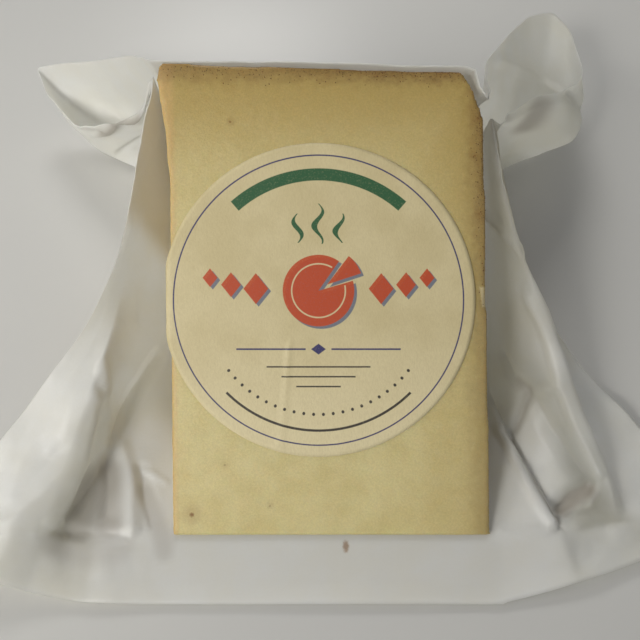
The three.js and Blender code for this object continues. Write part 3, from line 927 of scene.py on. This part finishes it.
def farPoint(x, share):
    rimLeft = wedge["leftFlat"] - wedge["lipOut"]
    across = (x - rimLeft) / (wedge["rightFlat"] - wedge["rightLean"] - rimLeft)
    turn = share * (sides[0]["farRise"] * (1 - across) + sides[1]["farRise"] * across)
    corner = float(step(x, 33.5 - 1.3 * wedge["shoulderWidth"], 33.5))
    worn = 0.65 * wedge["shoulderDepth"] * corner
    radius = wedge["radius"] + paperLook["rindGap"] - share * (wedge["rimTaper"] * across + worn)
    return (x - share * paperLook["cornerIn"] * corner, wedge["axisY"] + radius * math.cos(turn),
            share * wedge["bottom"] + radius * math.sin(turn))


def smoothCurve(points, count):
    # a centripetal curve through the points
    points = [np.asarray(p, float) for p in points]
    made = []
    last = len(points) - 1
    for n in range(count + 1):
        u = last * n / count
        k = min(int(u), last - 1)
        t = u - k
        p1, p2 = points[k], points[k + 1]
        p0 = points[k - 1] if k > 0 else 2 * p1 - p2
        p3 = points[k + 2] if k + 2 <= last else 2 * p2 - p1
        d0 = max(np.linalg.norm(p1 - p0) ** 0.5, 1e-6)
        d1 = max(np.linalg.norm(p2 - p1) ** 0.5, 1e-6)
        d2 = max(np.linalg.norm(p3 - p2) ** 0.5, 1e-6)
        t1 = ((p1 - p0) / d0 - (p2 - p0) / (d0 + d1) + (p2 - p1) / d1) * d1
        t2 = ((p2 - p1) / d1 - (p3 - p1) / (d1 + d2) + (p3 - p2) / d2) * d1
        c2 = -3 * p1 + 3 * p2 - 2 * t1 - t2
        c3 = 2 * p1 - 2 * p2 + t1 + t2
        made.append(p1 + t1 * t + c2 * t * t + c3 * t ** 3)
    return np.array(made)


def soften(grid, passes):
    # rounds the folds of a grid along its rows, but not at the wall's foot
    grid = grid.copy()
    for _ in range(passes):
        grid[:, 2:-1] = (grid[:, 1:-2] + 2 * grid[:, 2:-1] + grid[:, 3:]) / 4
    return grid


def makePaper():
    look = paperLook
    rowsY = [*np.linspace(look["nearEdge"], 0, look["nearRows"])[:-1],
             *np.linspace(0, look["midEnd"], look["midRows"])[:-1],
             *np.linspace(look["midEnd"], farFold, look["farRows"])]
    grids = []  # each: points (rows, columns, 3) and flat places (rows, columns, 2)
    walls = [np.array([sideRow(side, y) for y in rowsY]) for side in sides]
    walls = [soften(w, 1) for w in walls]
    # the folds run out on the near flap
    flapShare = step(-np.array(rowsY), -1.5, 2.5)[:, None, None]
    walls = [w * (1 - flapShare) + soften(w, look["flapPasses"]) * flapShare for w in walls]
    count = walls[0].shape[1] - 1

    def flatAcross(wall):
        lengths = np.linalg.norm(np.diff(wall, axis=1), axis=2)
        return np.concatenate([np.zeros((len(wall), 1)), np.cumsum(lengths, axis=1)], axis=1)

    flats = [flatAcross(w) for w in walls]
    left, right = walls
    base = []
    for k, y in enumerate(rowsY):
        xs = np.linspace(left[k, 0, 0], right[k, 0, 0], look["baseColumns"] + 1)
        base.append([(x, y, curl(y)) for x in xs])
    base = np.array(base)
    middle = np.concatenate([left[:, :0:-1], base, right[:, 1:]], axis=1)
    flatX = np.concatenate([base[:, :1, 0] - flats[0][:, :0:-1], base[:, :, 0],
                            base[:, -1:, 0] + flats[1][:, 1:]], axis=1)
    flatY = np.repeat(np.array(rowsY)[:, None], middle.shape[1], axis=1)
    grids.append((middle, np.stack([flatX, flatY], axis=2)))

    shares = np.linspace(0, 1, count + 1)
    xs = base[-1, :, 0]
    far = np.array([[farPoint(x, s) for x in xs] for s in shares])
    rise = np.linalg.norm(np.diff(far, axis=0), axis=2)
    up = np.concatenate([np.zeros((1, len(xs))), np.cumsum(rise, axis=0)], axis=0)
    grids.append((far, np.stack([np.repeat(xs[None], count + 1, axis=0), farFold + up], axis=2)))

    for k, side in enumerate(sides):
        wallEnd = walls[k][-1]
        farEnd = far[:, 0] if k == 0 else far[:, -1]
        lines = [wallEnd]
        for points in side["ear"]:
            through = [wallEnd[0]] + [(side["sign"] * x, y, z) for x, y, z in points]
            lines.append(smoothCurve(through, count))
        lines.append(farEnd)
        rows = [lines[0]]
        for a, b in zip(lines, lines[1:]):
            for s in range(1, look["earRows"] + 1):
                t = s / look["earRows"]
                rows.append(a * (1 - t) + b * t)
        rows = np.array(rows)
        for _ in range(look["earPasses"]):
            rows[1:-1] = (rows[:-2] + 2 * rows[1:-1] + rows[2:]) / 4
        angle = np.linspace(0, math.pi / 2, len(rows))[:, None]
        reach = np.concatenate([np.zeros((len(rows), 1)), np.cumsum(
            np.linalg.norm(np.diff(rows, axis=1), axis=2), axis=1)], axis=1)
        corner = np.array([wallEnd[0, 0], farFold])
        flatOut = corner[0] + side["sign"] * reach * np.cos(angle)
        flat = np.stack([flatOut, corner[1] + reach * np.sin(angle)], axis=2)
        if side["sign"] < 0:
            rows = rows[:, ::-1]
            flat = flat[:, ::-1]
        grids.append((rows, flat))

    points, flats, faces, found = [], [], [], {}
    for grid, flat in grids:
        ids = np.zeros(grid.shape[:2], dtype=int)
        for j in range(grid.shape[0]):
            for i in range(grid.shape[1]):
                key = tuple(np.round(grid[j, i] * 500).astype(int))
                if key not in found:
                    found[key] = len(points)
                    points.append(grid[j, i])
                    flats.append(flat[j, i])
                ids[j, i] = found[key]
        for j in range(grid.shape[0] - 1):
            for i in range(grid.shape[1] - 1):
                loop = []
                for v in (ids[j, i], ids[j, i + 1], ids[j + 1, i + 1], ids[j + 1, i]):
                    if v not in loop:
                        loop.append(int(v))
                if len(loop) > 2:
                    faces.append(loop)
    points = np.array(points)
    flats = np.array(flats)

    piece = meshObject("waxedPaper", inMetres(points), faces, flats * 0.001)
    normals = normalsOf(piece.data)
    u, v = flats[:, 0], flats[:, 1]
    warpU = u + 3 * softNoise(u / 19, v / 23, 31)
    warpV = v + 3 * softNoise(u / 21, v / 17, 33)
    free = step(np.abs(u), 34, 44)
    nearFree = step(-v, 1, 6) * look["nearCrumple"]
    farFree = step(v, farFold, farFold + 14) * look["farCrumple"]
    wild = np.maximum(free, np.maximum(nearFree, farFree))
    height = sum(size * facets(warpU / across, warpV / along, seed)
                 for across, along, seed, size in look["crumples"])
    height = height * wild + 0.05 * softNoise(u / 6, v / 6, 49) * step(-v, -1, 3)
    moved = points + normals * (look["lift"] + height + creaseHeights(u, v))[:, None]
    farRight = inMillimetres(cadBounds[1])[0]
    moved[:, 2] = np.maximum(moved[:, 2], look["thickness"] + look["clearance"])
    moved[:, 0] = np.minimum(moved[:, 0], farRight - look["thickness"])
    setPoints(piece.data, inMetres(moved))
    setAttribute(piece.data, "double", doubleShare(u, v))
    setAttribute(piece.data, "paintedShade", paintedShadeShare(u, v))
    wall = piece.modifiers.new("sheet", "SOLIDIFY")
    wall.thickness = look["thickness"] * 0.001
    wall.offset = 1.0
    applyModifiers(piece)
    piece.data.materials.append(paperFinish())
    return piece


def paperFinish():
    f = Finish("waxedPaperWhite")
    place = f.objectPlace()
    cloud = f.noise(place, 0.09, 3.0, 0.55)
    fibre = f.noise(place, 1.6, 5.0, 0.7)
    fine = f.noise(place, 5.0, 2.0, 0.6)
    base = f.blend(f.fade(cloud, 0.3, 0.7), paperLook["white"], paperLook["dull"])
    base = f.blend(f.fade(fibre, 0.35, 0.75, 0.0, 0.2), base, paperLook["fibre"])

    # a small brown smear in front of the wedge
    smear = f.vector("SUBTRACT", {0: place, 1: paperLook["smearAt"]})
    smear = f.vector("MULTIPLY", {0: smear, 1: (1.4, 0.75, 1.0)})
    spot = f.vector("LENGTH", {0: smear}, out=1) + (fibre - 0.5) * 1.2
    base = f.blend(f.fade(spot, 0.4, 1.25, 0.7, 0.0), base, paperLook["smear"])
    double = f.node("ShaderNodeAttribute", {"attribute_name": "double"}, {}, out=2)
    paintedShade = f.node("ShaderNodeAttribute", {"attribute_name": "paintedShade"}, {}, out=2)
    through = paperLook["through"] - f.larger(double, paintedShade) * paperLook["stopped"]
    # painted shade: the hollows of the folds are painted grey
    base = f.blend(paintedShade, base, paperLook["paintedShadeGrey"])
    normal = f.bump(fibre + fine * 0.4, paperLook["bumpDepth"], paperLook["bumpStrength"])
    return f.close({
        "Base Color": base,
        "Roughness": f.fade(fibre, 0.3, 0.7, 0.34, 0.48),
        "Normal": normal,
        "Specular IOR Level": 0.6,
        "Coat Weight": paperLook["coat"],
        "Coat IOR": 1.5,
        "Coat Roughness": paperLook["coatRoughness"],
    }, through)


cheese = makeCheese()
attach(cheese, "root")
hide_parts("cheese")
print("cheese", len(cheese.data.polygons))

flecks = makeFlecks(cheese)
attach(flecks, "root")
print("flecks", len(flecks.data.polygons))

label = makeLabel()
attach(label, "root")
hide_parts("label")
print("label", len(label.data.polygons))

paper = makePaper()
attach(paper, "root")
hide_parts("paper")
print("paper", len(paper.data.polygons))


# Stage, light and camera
stageLook = {
    "floor": colour(219, 218, 213),
    "floorDeep": colour(215, 214, 210),
    "floorSide": 1.6,
    "floorDrop": 0.0002,
    "sky": (0.97, 0.98, 1.0),
    "skyStrength": 0.24,
    "lamps": [  # name, place and aim in the wedge's axes, size in metres, spread, watts, tint
        ("sideLamp", (-1150.0, -100.0, 790.0), (0.0, 40.0, 15.0), 0.42, 180, 2.25, (1.0, 0.98, 0.945)),
        ("nearLamp", (-370.0, -370.0, 410.0), (-90.0, 110.0, 0.0), 0.22, 60, 0.27, (1.0, 0.98, 0.94)),
        ("farLamp", (-80.0, 600.0, 480.0), (0.0, 60.0, 15.0), 0.26, 180, 1.1, (1.0, 0.99, 0.97)),
    ],
}


def makeStage():
    look = stageLook
    side = look["floorSide"]
    corners = [(x * side, y * side, -look["floorDrop"]) for x, y in ((-1, -1), (1, -1), (1, 1), (-1, 1))]
    floor = meshObject("paleFloor", corners, [(0, 1, 2, 3)])
    f = Finish("paleFloorFinish")
    soft = f.noise(f.objectPlace(), 0.01, 2.0, 0.5)
    floor.data.materials.append(f.close({
        "Base Color": f.blend(f.fade(soft, 0.3, 0.7), look["floor"], look["floorDeep"]),
        "Roughness": 0.3,
        "Specular IOR Level": 0.45,
    }))
    world = bpy.data.worlds.new("softRoom")
    bpy.context.scene.world = world
    world.use_nodes = True
    background = world.node_tree.nodes["Background"]
    background.inputs["Color"].default_value = (*look["sky"], 1.0)
    background.inputs["Strength"].default_value = look["skyStrength"]

    for name, placeMm, aimMm, size, spread, watts, tint in look["lamps"]:
        lamp = bpy.data.lights.new(name, "AREA")
        lamp.shape = "DISK"
        lamp.size = size
        lamp.spread = math.radians(spread)
        lamp.energy = watts
        lamp.color = tint
        holder = bpy.data.objects.new(name, lamp)
        bpy.context.collection.objects.link(holder)
        place = Vector(inMetres(placeMm))
        holder.location = place
        holder.rotation_euler = (Vector(inMetres(aimMm)) - place).to_track_quat("-Z", "Y").to_euler()


cameraLook = {
    "target": np.array([-2.3, 35.4, 27.3]),  # in the wedge's axes
    "elevation": math.radians(57),
    "distance": 153.4,
    "angle": 2 * math.atan(320 / 760),
}


def makeCamera():
    look = cameraLook
    back = np.array([0.0, -math.cos(look["elevation"]), math.sin(look["elevation"])])
    camera = bpy.data.cameras.new("photoView")
    camera.angle = look["angle"]
    camera.clip_start = 0.01
    viewer = bpy.data.objects.new("photoView", camera)
    bpy.context.collection.objects.link(viewer)
    viewer.location = Vector(inMetres(look["target"] + back * look["distance"]))
    viewer.rotation_euler = (math.pi / 2 - look["elevation"], 0.0, 0.0)
    bpy.context.scene.camera = viewer


makeStage()
makeCamera()
bpy.context.scene.view_settings.view_transform = "Standard"
print("stage, light and camera ready")
